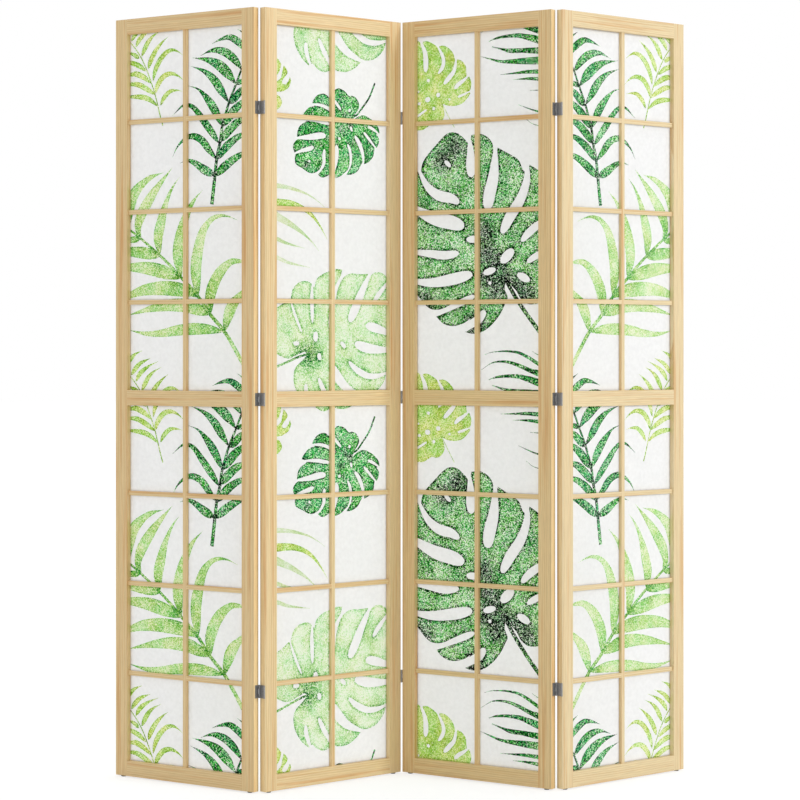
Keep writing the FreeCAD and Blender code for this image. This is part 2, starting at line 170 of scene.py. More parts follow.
def paint(node, material):
    """Give every material slot of a CAD node this material."""
    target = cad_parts[node]
    if not target.material_slots:
        target.data.materials.append(material)
    for slot in target.material_slots:
        slot.material = material


# Pine

RINGS_PER_METRE = 210.0
RING_WANDER = 0.016
# The heart of the tree lies beside the member, so rings show as long near-straight stripes.
HEART_SIDE = (0.05, 0.11)
HEART_DEPTH = 0.03
# Each panel's pine is tinted as painted light: panels 2 and 4, which face the lamp, paler and bluer, and
# panels 1 and 3, in shade, warmer.
PANEL_LIGHT_TINTS = {1: (1.0, 0.99, 0.96, 1.0), 2: (1.0, 1.02, 1.06, 1.0), 3: (0.985, 0.97, 0.93, 1.0),
               4: (0.965, 1.03, 1.14, 1.0)}
# How far from a panel's edge the painted shade on the face beside a fold starts, is darkest, and turns into
# the edge.
FOLD_SHADE_FROM = 0.0055
FOLD_SHADE_DARKEST = 0.001
EDGE_FACE = 0.0005
# How far behind the panel's middle the painted shade on the edge in a fold starts and is darkest; nearer the
# front the edge is painted a little lighter.
GAP_SHADE = (0.001, 0.008)


def stretched(tree, place, sideways, lengthwise):
    """The place scaled so that a pattern in it runs long along the grain."""
    scales = (sideways, sideways, lengthwise)
    return add(tree, "VectorMath", {0: place, 1: scales}, operation="MULTIPLY").outputs[0]


def pine_group():
    """Planed pine: growth rings cut along the grain, fine fibres and orange streaks.

    Place is metres across, through and along the member."""
    group = bpy.data.node_groups.new("pine_wood", "ShaderNodeTree")
    sockets = (("Place", "INPUT", "NodeSocketVector"), ("Seed", "INPUT", "NodeSocketFloat"),
               ("Color", "OUTPUT", "NodeSocketColor"), ("Height", "OUTPUT", "NodeSocketFloat"))
    for name, direction, kind in sockets:
        group.interface.new_socket(name, in_out=direction, socket_type=kind)
    entry = group.nodes.new("NodeGroupInput")
    place, seed = entry.outputs["Place"], entry.outputs["Seed"]
    across, through, along = parts_of(group, place)

    heart_distance = spread(group, calculate(group, "SINE", seed), -1.0, 1.0, *HEART_SIDE)
    heart_side = calculate(group, "ADD", across, heart_distance)
    heart_depth = calculate(group, "ADD", through, HEART_DEPTH)
    side_squared = calculate(group, "MULTIPLY", heart_side, heart_side)
    depth_squared = calculate(group, "MULTIPLY", heart_depth, heart_depth)
    radius = calculate(group, "SQRT", calculate(group, "ADD", side_squared, depth_squared))
    wander = noise(group, stretched(group, place, sideways=9.0, lengthwise=2.2), seed=seed)
    bent = calculate(group, "ADD", radius, calculate(group, "MULTIPLY", wander, RING_WANDER))
    phase = calculate(group, "FRACT", calculate(group, "MULTIPLY", bent, RINGS_PER_METRE))
    late = calculate(group, "MULTIPLY", calculate(group, "POWER", phase, 2.0),
                     spread(group, phase, 0.93, 1.0, 1.0, 0.0))
    ring_place = joined(group, calculate(group, "MULTIPLY", radius, 90.0), 0.0,
                        calculate(group, "MULTIPLY", along, 0.8))
    ring_strength = noise(group, ring_place, detail=1.0, seed=seed)
    late = calculate(group, "MULTIPLY", late, spread(group, ring_strength, 0.35, 0.7, 0.25, 1.0))
    fibre = noise(group, stretched(group, place, sideways=1500.0, lengthwise=26.0), detail=3.0, seed=seed)
    streak = noise(group, stretched(group, place, sideways=130.0, lengthwise=3.0), seed=seed)

    wood = blend_colours(group, late, colour(241, 214, 162), colour(213, 168, 103))
    wood = blend_colours(group, spread(group, streak, 0.52, 0.72, 0.0, 0.85), wood, colour(220, 164, 98))
    wood = toned(group, wood, spread(group, fibre, 0.3, 0.7, 0.84, 1.08))
    height = calculate(group, "ADD", calculate(group, "MULTIPLY", late, 0.5),
                       calculate(group, "MULTIPLY", fibre, 0.5))
    leave = group.nodes.new("NodeGroupOutput")
    group.links.new(wood, leave.inputs["Color"])
    group.links.new(height, leave.inputs["Height"])


def panel_place(tree, panel):
    """Metres from the panel's own middle line: across, through and up the panel."""
    centre = panel_centre(panel)
    values = {"Vector": here(tree), "Location": (centre.x, centre.y, 0.0),
              "Rotation": (0.0, 0.0, panel_turn(panel))}
    return add(tree, "Mapping", values, vector_type="TEXTURE").outputs[0]


def turned(tree, place):
    """The same place with across and up exchanged, for a member whose grain runs across the panel."""
    across, through, up = parts_of(tree, place)
    return joined(tree, up, through, across)


def fold_painted_shade(tree, place, wood):
    """The wood's colour with painted shade at a fold: darker towards the fold on its face, and on its edge a
    painted highlight at the front that turns into painted shade deep in the gap.
    """
    across, through, _ = parts_of(tree, place)
    from_middle = calculate(tree, "ABSOLUTE", across)
    face_shade = spread(tree, from_middle, PANEL_HALF_WIDTH - FOLD_SHADE_FROM, PANEL_HALF_WIDTH - FOLD_SHADE_DARKEST, 1.0, 0.88)
    edge_shade = spread(tree, through, *GAP_SHADE, 1.08, 0.66)
    is_edge = calculate(tree, "GREATER_THAN", from_middle, PANEL_HALF_WIDTH - EDGE_FACE)
    return toned(tree, wood, add(tree, "Mix", {0: is_edge, 2: face_shade, 3: edge_shade}).outputs[0])


def pine_material(panel, member, seed):
    """The pine of one member, with its grain along it."""
    material, tree = new_material(f"pine_panel_{panel}_{member}")
    place = panel_place(tree, panel)
    if member in LYING_MEMBERS:
        place = turned(tree, place)
    if member == "retaining_beads":
        # The beads beside the stiles stand and the others lie.
        from_middle = calculate(tree, "ABSOLUTE", parts_of(tree, place)[0])
        standing = calculate(tree, "GREATER_THAN", from_middle, OPENING_HALF_WIDTH)
        place = add(tree, "Mix", {0: standing, 4: turned(tree, place), 5: place},
                    data_type="VECTOR").outputs[1]
    wood = add(tree, "Group", {"Place": place, "Seed": seed},
               node_tree=bpy.data.node_groups["pine_wood"]).outputs
    # Painted light: the panel's tint makes the lit panels' wood paler and the shaded panels' wood warmer.
    tone = blend_colours(tree, 1.0, wood["Color"], PANEL_LIGHT_TINTS[panel], "MULTIPLY")
    # Stiles beside a fold get painted shade, and a painted highlight at the front of their edge.
    if (member == "left_stile" and panel > PANELS[0]) or (member == "right_stile" and panel < PANELS[-1]):
        tone = fold_painted_shade(tree, place, tone)
    principled(tree, Base_Color=tone, Roughness=0.48, Specular_IOR_Level=0.6,
               Normal=bump(tree, wood["Height"], strength=0.12, distance=0.0004))
    return material


def paint_wood():
    """Paint every pine member with a grain of its own."""
    pine_group()
    for panel in PANELS:
        for number, member in enumerate(STANDING_MEMBERS + LYING_MEMBERS + ("retaining_beads",)):
            seed = 7.3 * panel + 1.9 * number
            paint(f"panel_{panel}_{member}", pine_material(panel, member, seed))


def beech_material():
    """Dowel beech: pinkish, with short dark flecks."""
    material, tree = new_material("beech_dowel")
    flecks = add(tree, "TexVoronoi", {"Vector": here(tree), "Scale": 900.0}).outputs["Distance"]
    tone = blend_colours(tree, spread(tree, flecks, 0.1, 0.6), colour(176, 126, 86), colour(222, 182, 138))
    principled(tree, Base_Color=tone, Roughness=0.6)
    return material


# Hardware

def steel_material(name, dark, light, roughness):
    """Plated steel with fine mottling."""
    material, tree = new_material(name)
    mottle = noise(tree, here(tree), scale=420.0, detail=4.0)
    tone = blend_colours(tree, spread(tree, mottle, 0.3, 0.7), dark, light)
    principled(tree, Base_Color=tone, Metallic=0.85, Roughness=roughness,
               Normal=bump(tree, mottle, strength=0.15, distance=0.0003))
    return material


def plastic_material():
    """Moulded grey plastic with a fine spark-eroded texture."""
    material, tree = new_material("glide_plastic")
    grain = noise(tree, here(tree), scale=1600.0)
    tone = blend_colours(tree, spread(tree, grain, 0.3, 0.7), colour(92, 88, 82), colour(118, 113, 106))
    principled(tree, Base_Color=tone, Roughness=0.48,
               Normal=bump(tree, grain, strength=0.2, distance=0.0002))
    return material


def paint_hardware():
    """Paint dowels, glides, screws and hinges, told apart by the last word of the node's name."""
    hinge = steel_material("hinge_steel", colour(138, 138, 139), colour(162, 162, 163), 0.45)
    screw = steel_material("screw_steel", colour(140, 138, 134), colour(170, 167, 162), 0.3)
    finishes = {"dowels": beech_material(), "glides": plastic_material(), "screws": screw,
                "leaves": hinge, "pins": hinge}
    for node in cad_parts:
        last_word = node.rsplit("_", 1)[-1]
        if last_word in finishes:
            paint(node, finishes[last_word])


# Leaf print

# A common pattern of palm fronds and split leaves, drawn along listed courses.
# Places on the roll are millimetres across from the panel's middle line and down from
# the upper opening's top edge. The roll repeats, and panel 4 has it mirrored.
INKS = ("paper", "lime", "pale", "leaf", "deep", "faint", "fresh")
ROLL_REPEAT = 750.0
ROLL_COPIES = (-1, 0, 1, 2)
MIRRORED_PANEL = 4
# The mirrored roll hangs this much to the right.
MIRROR_SHIFT = 6.5
# The power of each panel's ink tones, as painted light: under 1 paints the print paler on panels 2 and 4,
# which face the lamp, most on panel 4; over 1 darkens it on panel 3, in shade.
PAINTED_LIGHT_INK_POWERS = {1: 1.0, 2: 0.96, 3: 1.03, 4: 0.76}
# How much of the print shows at the back.
BACK_STRENGTH = 0.45
# How far apart the points of outlines, of the rims' measure, beside the rims and over broad leaves are.
OUTLINE_STEP = 2.6
RIM_MEASURE_STEP = 1.3
RIM_STEP = 3.2
FILL_STEP = 9.0
# How much room a point inside has from the rims, from the next point and from the sheet's edge.
RIM_ROOM = RIM_STEP * 0.7
POINT_ROOM = RIM_STEP * 0.6
EDGE_ROOM = 2.0
MERGE_DISTANCE = 0.001
NARROWEST_HALF = 0.35
HOLE_POINTS = 16
# Where along a split the leaf's margin crosses it.
SPLIT_MARGIN = 0.82
# Too far for a rim or a junction to darken the ink.
FAR = 999.0
# What each point of the paper stores, lengths in millimetres. up starts from the opening's foot.
READINGS = ("rim", "heart", "ink_strength", "painted_light_ink_power", "across", "up")
# The sheets, in metres: half width, lap behind the frame, and how far behind the middle front and back lie.
SHEET_HALF_WIDTH = 0.171
PAPER_LAP = 0.005
PAPER_FRONT = 0.0036
PAPER_BACK = 0.0039


class Patch:
    """One printed shape: an outline with what is cut out of it, and where its ink is darkest."""

    def __init__(self, ink, outline, cuts=(), hearts=(), broad=False):
        self.ink = ink
        self.outline = outline
        self.cuts = list(cuts)
        self.hearts = list(hearts)
        self.broad = broad


def at(across, down):
    """A place on the roll as a flat vector with up positive."""
    return Vector((across, -down))


def heading(degrees):
    """A unit vector; 0 points to the right and 90 up."""
    return Vector((math.cos(math.radians(degrees)), math.sin(math.radians(degrees))))


def resample(points, step):
    """Points about one step apart along a line of points."""
    spaced = [points[0]]
    for start, end in zip(points, points[1:]):
        count = max(1, round((end - start).length / step))
        spaced += [start.lerp(end, number / count) for number in range(1, count + 1)]
    return spaced


def evened(outline, step):
    """A closed outline with its points about one step apart."""
    return resample(outline + outline[:1], step)[:-1]


def smooth_line(course, pieces=8):
    """A smooth line through the places of a course (Catmull-Rom)."""
    points = [at(*place) for place in course]
    ends = [points[0] * 2 - points[1]] + points + [points[-1] * 2 - points[-2]]
    line = []
    for first, second, third, fourth in zip(ends, ends[1:], ends[2:], ends[3:]):
        for number in range(pieces):
            share = number / pieces
            line.append(0.5 * (second * 2 + (third - first) * share
                               + (first * 2 - second * 5 + third * 4 - fourth) * share ** 2
                               + (second * 3 - first - third * 3 + fourth) * share ** 3))
    return line + [points[-1]]


def even_line(course):
    """The smooth line through a course with even points, and each point's share of the way."""
    line = resample(smooth_line(course), OUTLINE_STEP)
    return line, [number / (len(line) - 1) for number in range(len(line))]


def ribbon(line, half_widths):
    """The closed outline of a strip along a line."""
    left, right = [], []
    for number, point in enumerate(line):
        before, after = line[max(0, number - 1)], line[min(len(line) - 1, number + 1)]
        run = (after - before).normalized()
        side = Vector((-run.y, run.x)) * half_widths[number]
        left.append(point + side)
        right.append(point - side)
    return left + right[::-1]


def leaflet(ink, course, width):
    """A palm leaflet along a course from its base, widest a third of the way to its tip."""
    line, shares = even_line(course)
    halves = [max(NARROWEST_HALF, width / 2 * math.sin(math.pi * share ** 0.6) ** 1.25) for share in shares]
    return Patch(ink, ribbon(line, halves), hearts=[line[0]])


def frond(ink, rib, rib_widths, leaflets):
    """A palm frond: its rib from the foot, thinning to its tip, and leaflets with their widths last."""
    line = smooth_line(rib)
    last = len(line) - 1
    foot, tip = rib_widths
    halves = [(foot + (tip - foot) * number / last) / 2 for number in range(last + 1)]
    return [Patch(ink, ribbon(line, halves))] + [leaflet(ink, course, width) for *course, width in leaflets]


def long_blade(ink, course, width):
    """A loose leaflet along a course, broad at its base and fine at its tip."""
    line, shares = even_line(course)
    halves = [max(NARROWEST_HALF, width / 2 * (1.0 - share ** 1.25) ** 1.1) for share in shares]
    return Patch(ink, ribbon(line, halves))


def hole(across, down, long, wide, turn):
    """The oval outline of a hole."""
    lengthwise, crosswise = heading(turn), heading(turn + 90)
    angles = [step / HOLE_POINTS * math.tau for step in range(HOLE_POINTS)]
    return [at(across, down) + lengthwise * long / 2 * math.cos(angle)
            + crosswise * wide / 2 * math.sin(angle) for angle in angles]


def split_leaf(ink, junction, lobes, splits, holes, stem, stem_width, hearts=()):
    """A split leaf.

    lobes are the margins of its lobes in order. splits, one after each lobe, are a course from
    the inner end to the rim with its width last, or None. holes are a place, length, width and turn."""
    centre = at(*junction)
    outline, cuts = [], []
    for number, lobe in enumerate(lobes):
        outline += smooth_line(lobe, 5)
        if number >= len(splits) or splits[number] is None:
            continue
        *course, width = splits[number]
        line, shares = even_line(course)
        halves = [max(0.5, width / 2 * math.sin(math.pi * share ** 0.55 * 0.95) ** 0.75) for share in shares]
        cuts.append(ribbon(line, halves))
        outline.append(line[round((len(line) - 1) * SPLIT_MARGIN)])
    cuts += [hole(*sizes) for sizes in holes]
    outline.append(centre)
    leaf = Patch(ink, evened(outline, OUTLINE_STEP), [evened(cut, OUTLINE_STEP) for cut in cuts],
                 [centre] + [at(*place) for place in hearts], broad=True)
    stalk_line = smooth_line((junction,) + stem)
    stalk = Patch(ink, ribbon(stalk_line, [stem_width / 2] * len(stalk_line)), hearts=[centre])
    return [leaf, stalk]


def frond_roll():
    """The roll of panels 1 and 4: a lime, a deep and a large pale frond."""
    lime = frond(
        "lime", ((-70, 208), (-76, 192), (-84, 166), (-93, 138), (-104, 111), (-118, 81), (-135, 52),
                 (-156, 27), (-179, 6)), (3.0, 2.4),
        (((-77, 163), (-67, 147), (-50, 134), (-31, 132), (-13, 135), 11.2),
         ((-91, 136), (-87, 120), (-69, 100), (-46, 94), (-24, 101), (-7, 114), 13.3),
         ((-99, 108), (-93, 86), (-80, 64), (-61, 47), (-42, 42), (-27, 46), (-12, 55), 13.3),
         ((-113, 79), (-106, 62), (-91, 40), (-72, 23), (-55, 12), 13.3),
         ((-133, 50), (-123, 33), (-112, 18), (-97, 6), (-75, -4), 12.7),
         ((-150, 28), (-141, 14), (-128, 3), (-108, -8), (-84, -17), 12.0),
         ((-164, 14), (-152, 0), (-136, -13), (-107, -24), 11.7),
         ((-182, -4), (-168, -20), (-152, -33), (-131, -41), 11.7),
         ((-84, 165), (-106, 150), (-129, 142), (-163, 139), (-198, 142), 12.0),
         ((-93, 138), (-114, 126), (-140, 114), (-163, 111), (-198, 114), 12.7),
         ((-104, 112), (-125, 98), (-148, 89), (-163, 89), (-198, 91), 13.3),
         ((-119, 84), (-140, 71), (-163, 63), (-198, 56), 12.0),
         ((-140, 54), (-156, 45), (-182, 36), 10.5)))
    deep = frond(
        "deep", ((72, 388), (77, 354), (81, 323), (87, 284), (96, 251), (101, 221), (114, 185),
                 (123, 163), (141, 128), (157, 96), (177, 67)), (10.0, 4.6),
        (((79, 324), (50, 311), (24, 296), (2, 289), (-20, 294), 20.4),
         ((86, 290), (65, 269), (43, 246), (17, 236), (-5, 241), (-27, 257), (-42, 280), 18.4),
         ((93, 255), (72, 230), (46, 201), (24, 177), (6, 167), (-13, 168), (-42, 188), 18.4),
         ((102, 218), (79, 180), (57, 154), (32, 133), (4, 124), 21.6),
         ((120, 167), (101, 143), (79, 116), (50, 95), (11, 81), 21.6),
         ((140, 128), (119, 105), (90, 83), (57, 70), (16, 63), 24.9),
         ((157, 97), (137, 75), (112, 58), (87, 51), (65, 52), (40, 60), 19.8),
         ((177, 67), (159, 46), (137, 31), (119, 25), (94, 29), (73, 36), 17.1),
         ((187, 43), (166, 22), (145, 9), 7.3),
         ((81, 326), (108, 307), (134, 292), (159, 282), (194, 278), 21.1),
         ((87, 291), (108, 268), (134, 250), (159, 240), (198, 237), 20.4),
         ((96, 251), (119, 230), (141, 214), (159, 207), (194, 200), 21.1),
         ((102, 219), (119, 202), (137, 184), (159, 170), (191, 159), 21.6),
         ((123, 170), (137, 159), (157, 143), (191, 131), 18.4),
         ((140, 128), (155, 124), (187, 120), 11.8)))
    pale = frond(
        "fresh", ((177, 758), (157, 733), (130, 695), (105, 664), (68, 630), (35, 592), (11, 569),
                  (-16, 548), (-46, 522), (-80, 496), (-110, 475), (-137, 457), (-163, 441), (-198, 421)),
                  (10.5, 5.0),
        (((-175, 436), (-171, 396), (-156, 359), (-129, 335), (-102, 321), (-68, 313), 29.9),
         ((-135, 457), (-144, 434), (-133, 403), (-106, 367), (-80, 339), (-42, 303), 27.8),
         ((-79, 494), (-84, 459), (-76, 425), (-65, 391), (-52, 363), (-37, 341), (-21, 325), 27.8),
         ((-16, 546), (-26, 502), (-20, 460), (-5, 418), (17, 382), (45, 356), 31.3),
         ((32, 588), (26, 534), (32, 490), (46, 448), (68, 423), (94, 414), (119, 416), (145, 425), 30.6),
         ((67, 629), (67, 591), (79, 560), (97, 536), (123, 517), (148, 514), (184, 520), 30.6),
         ((108, 667), (116, 639), (130, 611), (152, 589), (177, 573), (205, 565), 29.2),
         ((105, 667), (61, 662), (21, 661), (-27, 664), (-72, 670), (-121, 671), (-175, 662), 26.0),
         ((68, 629), (35, 619), (2, 610), (-46, 608), (-91, 613), (-129, 620), (-179, 631), 30.6),
         ((35, 591), (6, 580), (-27, 573), (-72, 570), (-121, 573), (-159, 582), (-200, 596),
          (-236, 606), 32.5),
         ((-14, 548), (-39, 542), (-72, 533), (-114, 525), (-159, 522), (-206, 524), (-246, 528), 31.3),
         ((-78, 498), (-114, 492), (-159, 487), (-206, 484), (-250, 484), 26.7),
         ((-137, 459), (-159, 460), (-190, 461), 15.0)))
    return pale + lime + deep


def split_leaf_roll():
    """The roll of panel 2: a deep split leaf, a large pale one and loose blades at the left."""
    deep = split_leaf(
        "deep", (58, 200),
        (((68, 184), (81, 169), (83, 156), (74, 144), (62, 140), (53, 141), (40, 131), (23, 126),
          (10, 131), (-5, 140)),
         ((-5, 149), (-15, 142), (-25, 141), (-39, 145), (-50, 155), (-55, 164)),
         ((-48, 170), (-64, 174), (-76, 184), (-83, 192), (-85, 197)),
         ((-74, 207), (-87, 213), (-96, 224), (-99, 241)),
         ((-81, 242), (-99, 247), (-109, 257), (-110, 266), (-106, 275)),
         ((-104, 280), (-105, 291), (-101, 301), (-83, 309), (-66, 317), (-52, 318), (-39, 313), (-28, 304)),
         ((-38, 320), (-31, 325), (-21, 326), (-7, 320), (4, 312)),
         ((10, 325), (16, 325), (30, 320), (44, 310)),
         ((45, 317), (60, 316), (78, 308), (90, 292)),
         ((99, 291), (113, 285), (126, 272), (129, 259)),
         ((137, 252), (143, 241), (143, 231), (136, 223)),
         ((145, 219), (143, 209), (136, 201), (123, 191), (104, 183), (91, 182), (77, 187))),
        (((30, 174), (17, 161), (5, 151), (-11, 142), 7.7),
         ((13, 185), (-5, 174), (-29, 167), (-60, 166), 8.1),
         ((-2, 207), (-23, 204), (-46, 201), (-86, 201), 8.9),
         ((-15, 234), (-31, 234), (-62, 239), (-101, 243), 14.7),
         ((-50, 260), (-64, 265), (-85, 270), (-109, 278), 10.1),
         ((-19, 263), (-21, 278), (-21, 294), (-29, 308), (-42, 322), 9.9),
         ((16, 252), (17, 268), (14, 289), (6, 320), 12.5),
         ((49, 248), (56, 263), (59, 280), (56, 298), (42, 320), 8.2),
         ((70, 229), (82, 243), (92, 262), (96, 278), (96, 296), 10.8),
         ((97, 219), (110, 231), (124, 244), (138, 257), 7.3),
         ((109, 205), (123, 210), (135, 216), (148, 225), 7.1)),
        ((55, 173, 8.2, 7.4, 90), (60, 214, 12.0, 7.3, 110), (25, 238, 8.3, 7.6, 0),
         (-63, 292, 6.9, 6.2, 0)),
        ((66, 187), (78, 181), (96, 162), (115, 139), (131, 107)), stem_width=4.4,
        hearts=((30, 215), (45, 190), (-70, 300)))
    pale = split_leaf(
        "pale", (-66, 716),
        (((-78, 711), (-101, 719), (-125, 726), (-152, 718), (-179, 701), (-191, 672), (-185, 641),
          (-164, 620), (-140, 607), (-122, 595)),
         ((-116, 591), (-110, 573), (-94, 560), (-72, 556), (-57, 561)),
         ((-48, 569), (-42, 552), (-25, 540), (-3, 533), (15, 528), (33, 529)),
         ((25, 560), (39, 545), (59, 537), (84, 538), (111, 537)),
         ((114, 545), (127, 535), (143, 532), (161, 538), (171, 549)),
         ((172, 561), (187, 586), (192, 625), (187, 653), (179, 666)),
         ((183, 676), (187, 686), (183, 698)),
         ((177, 721), (177, 742), (168, 755)),
         ((164, 764), (156, 782), (132, 802), (102, 808), (84, 803)),
         ((89, 813), (70, 828), (45, 838), (22, 838), (5, 834)),
         ((-4, 839), (-22, 843), (-40, 837), (-54, 826)),
         ((-65, 832), (-86, 816), (-104, 790), (-109, 765), (-103, 746), (-87, 733), (-72, 721))),
        (((-85, 669), (-97, 646), (-109, 620), (-121, 589), 7.4),
         ((-54, 648), (-55, 619), (-56, 587), (-53, 553), 11.1),
         ((-3, 661), (4, 617), (14, 573), (41, 531), 15.3),
         ((54, 645), (72, 615), (91, 579), (117, 535), 24.1),
         ((125, 603), (142, 583), (158, 567), (177, 548), 12.7),
         ((103, 652), (132, 658), (158, 665), (187, 673), 20.8),
         ((70, 693), (107, 703), (145, 707), (190, 708), 22.7),
         ((52, 733), (75, 751), (107, 765), (138, 766), (172, 758), 15.3),
         ((0, 741), (22, 770), (50, 794), (95, 812), 24.3),
         ((-37, 769), (-23, 794), (-6, 819), (4, 840), 12.5),
         ((-74, 781), (-72, 801), (-65, 820), (-56, 836), 12.0)),
        ((-45, 678, 22.9, 14.3, 90), (-101, 693, 18.4, 10.3, 0), (-34, 722, 16.1, 12.0, 100),
         (36, 696, 20.2, 11.0, -40)),
        ((-92, 722), (-119, 731), (-158, 744), (-188, 750)), stem_width=5.2)
    small = split_leaf(
        "lime", (-190, 130),
        (((-190, 56), (-156, 72), (-148, 80), (-144, 84)),
         ((-146, 93), (-150, 102), (-156, 109), (-162, 117)),
         ((-156, 123), (-150, 119), (-144, 113), (-140, 98), (-137, 87)),
         ((-131, 92), (-126, 101), (-130, 108), (-137, 115), (-142, 122)),
         ((-140, 127), (-133, 128), (-126, 123), (-122, 117), (-119, 111)),
         ((-116, 119), (-118, 125), (-123, 134), (-132, 140), (-142, 144), (-156, 146), (-166, 149)),
         ((-156, 152), (-148, 156), (-142, 167), (-145, 175), (-156, 184), (-190, 192))),
        (), (), ((-210, 150),), stem_width=2.0)
    blades = [long_blade(ink, course, width) for ink, course, width in (
        ("faint", ((-185, 350), (-155, 350), (-121, 353), (-72, 364), (-39, 379), (-18, 392)), 11.5),
        ("lime", ((-185, 387), (-155, 387), (-116, 388), (-84, 396), (-57, 410), (-32, 434),
                  (-11, 463)), 20.0),
        ("faint", ((-185, 404), (-155, 417), (-116, 433), (-79, 453), (-54, 471), (-35, 489)), 21.0),
        ("faint", ((-180, 460), (-155, 466), (-126, 475), (-77, 484)), 10.5),
        ("faint", ((-180, 501), (-153, 507), (-121, 517), (-62, 526)), 10.5))]
    return blades + deep + pale + small


def mixed_roll():
    """The roll of panel 3: a lime and a large deep split leaf, and deep blades at the right."""
    lime = split_leaf(
        "lime", (-98, 154),
        (((-90, 157), (-81, 160), (-63, 161), (-44, 157), (-29, 145), (-21, 135)),
         ((-21, 127), (-19, 113), (-24, 98)),
         ((-32, 91), (-34, 74), (-43, 63), (-56, 57)),
         ((-63, 58), (-69, 42), (-83, 29), (-96, 24), (-106, 25)),
         ((-100, 50), (-109, 29), (-125, 17), (-140, 11), (-151, 12)),
         ((-162, 10), (-186, 6), (-208, 19), (-219, 45), (-219, 80)),
         ((-214, 130), (-211, 176), (-200, 190)),
         ((-200, 196), (-193, 205), (-178, 211), (-161, 211), (-149, 210), (-134, 202), (-126, 198),
          (-113, 200), (-100, 194), (-92, 181), (-93, 169))),
        (((-56, 142), (-46, 139), (-34, 135), (-18, 129), 6.2),
         ((-65, 123), (-53, 113), (-39, 105), (-22, 92), 10.1),
         ((-94, 111), (-79, 97), (-65, 81), (-59, 52), 11.8),
         ((-109, 87), (-96, 70), (-96, 50), (-113, 20), 10.1),
         ((-144, 81), (-143, 58), (-146, 35), (-159, 8), 14.0),
         None,
         ((-140, 165), (-153, 172), (-170, 181), (-202, 193), 5.9)),
        ((-136, 100, 8.7, 8.0, 0), (-138, 143, 14.7, 12.4, 0), (-109, 134, 11.5, 10.5, 0),
         (-121, 164, 7.9, 8.5, 0), (-78, 146, 6.9, 6.2, 0), (-163, 124, 4.6, 5.9, 0),
         (-161, 151, 9.2, 7.3, 0)),
        ((-83, 180), (-65, 209)), stem_width=1.4)
    large = split_leaf(
        "leaf", (73, 552),
        (((102, 578), (113, 595), (130, 606), (148, 607), (166, 603), (190, 590), (208, 562), (213, 529),
          (204, 497)),
         ((204, 476), (208, 458), (201, 432)),
         ((194, 406), (197, 373), (187, 338), (160, 315), (136, 301)),
         ((118, 312), (107, 290), (84, 276), (52, 260)),
         ((40, 273), (38, 251), (24, 235), (4, 227), (-19, 229)),
         ((-27, 247), (-37, 237), (-54, 224), (-73, 220), (-91, 226), (-117, 248), (-144, 274),
          (-154, 291), (-156, 309)),
         ((-166, 303), (-181, 319), (-193, 344), (-193, 366)),
         ((-197, 387), (-208, 428), (-204, 468), (-193, 483)),
         ((-200, 492), (-204, 520), (-193, 544)),
         ((-189, 556), (-166, 584), (-136, 612), (-110, 617), (-84, 611)),
         ((-116, 631), (-95, 648), (-69, 654), (-40, 648), (-21, 637)),
         ((-43, 665), (-18, 671), (8, 668), (33, 654), (57, 630), (73, 603), (78, 591), (70, 574))),
        (((129, 515), (148, 504), (173, 493), (208, 482), 15.0),
         ((114, 469), (134, 450), (159, 433), (201, 410), 18.6),
         ((62, 450), (84, 414), (113, 374), (129, 331), (127, 287), 26.3),
         ((24, 397), (30, 362), (41, 320), (46, 261), 31.7),
         ((-18, 323), (-21, 295), (-21, 265), (-24, 236), 23.9),
         ((-51, 379), (-73, 368), (-110, 359), (-140, 337), (-163, 300), 23.9),
         ((-38, 432), (-73, 422), (-125, 410), (-197, 378), 32.3),
         ((-52, 491), (-91, 495), (-136, 490), (-197, 484), 19.4),
         ((-16, 538), (-69, 549), (-129, 556), (-193, 550), 26.3),
         ((-10, 587), (-40, 599), (-73, 612), (-129, 635), 15.6),
         ((19, 620), (1, 639), (-21, 651), (-47, 668), 20.9)),
        ((-15, 461, 35.1, 16.3, 0), (-83, 290, 22.2, 10.7, -40), (77, 500, 44.4, 23.7, 40),
         (30, 533, 35.1, 15.4, 15), (120, 548, 37.0, 17.8, -25), (31, 559, 8.9, 8.3, 0)),
        ((98, 590), (127, 627), (157, 662), (190, 699)), stem_width=9.7,
        hearts=((15, 448), (26, 494), (48, 515), (26, 549), (48, 575), (98, 564), (127, 588), (-96, 282),
                (-60, 256), (-148, 602), (-10, 655)))
    blades = [long_blade("deep", course, width) for *course, width in (
        ((187, 22), (158, 6), (139, 2), (112, -3), 15.5),
        ((187, 38), (157, 27), (134, 21), (96, 15), (62, 17), (40, 20), (28, 23), 16.3),
        ((187, 52), (157, 52), (129, 50), (96, 47), (70, 44), (37, 35), 15.5),
        ((187, 75), (157, 74), (129, 73), (96, 72), (62, 70), (37, 64), (6, 55), 18.2),
        ((187, 97), (157, 98), (129, 97), (96, 98), (59, 99), 10.8),
        ((187, 117), (157, 114), (129, 112), (92, 112), 9.9),
        ((187, 141), (157, 139), (137, 138), 3.9),
        ((187, 191), (157, 185), (137, 179), (107, 168), 5.2),
        ((187, 223), (157, 216), (142, 211), (127, 201), 2.8),
        ((182, 724), (158, 718), (142, 710), 2.9),
        ((182, 749), (157, 737), (133, 724), (109, 714), (90, 711), (71, 710), (53, 711), (34, 713),
         (17, 718), 9.0),
        ((182, 767), (157, 759), (133, 751), (109, 742), (84, 735), (65, 733), (46, 734), (30, 739),
         (8, 752), 12.0),
        ((182, 786), (157, 779), (133, 772), (109, 766), (84, 765), (59, 766), (44, 768), (29, 774), 16.3),
        ((182, 801), (157, 800), (109, 802), (84, 801), (65, 795), (36, 786), 7.3))]
    return large + lime + blades


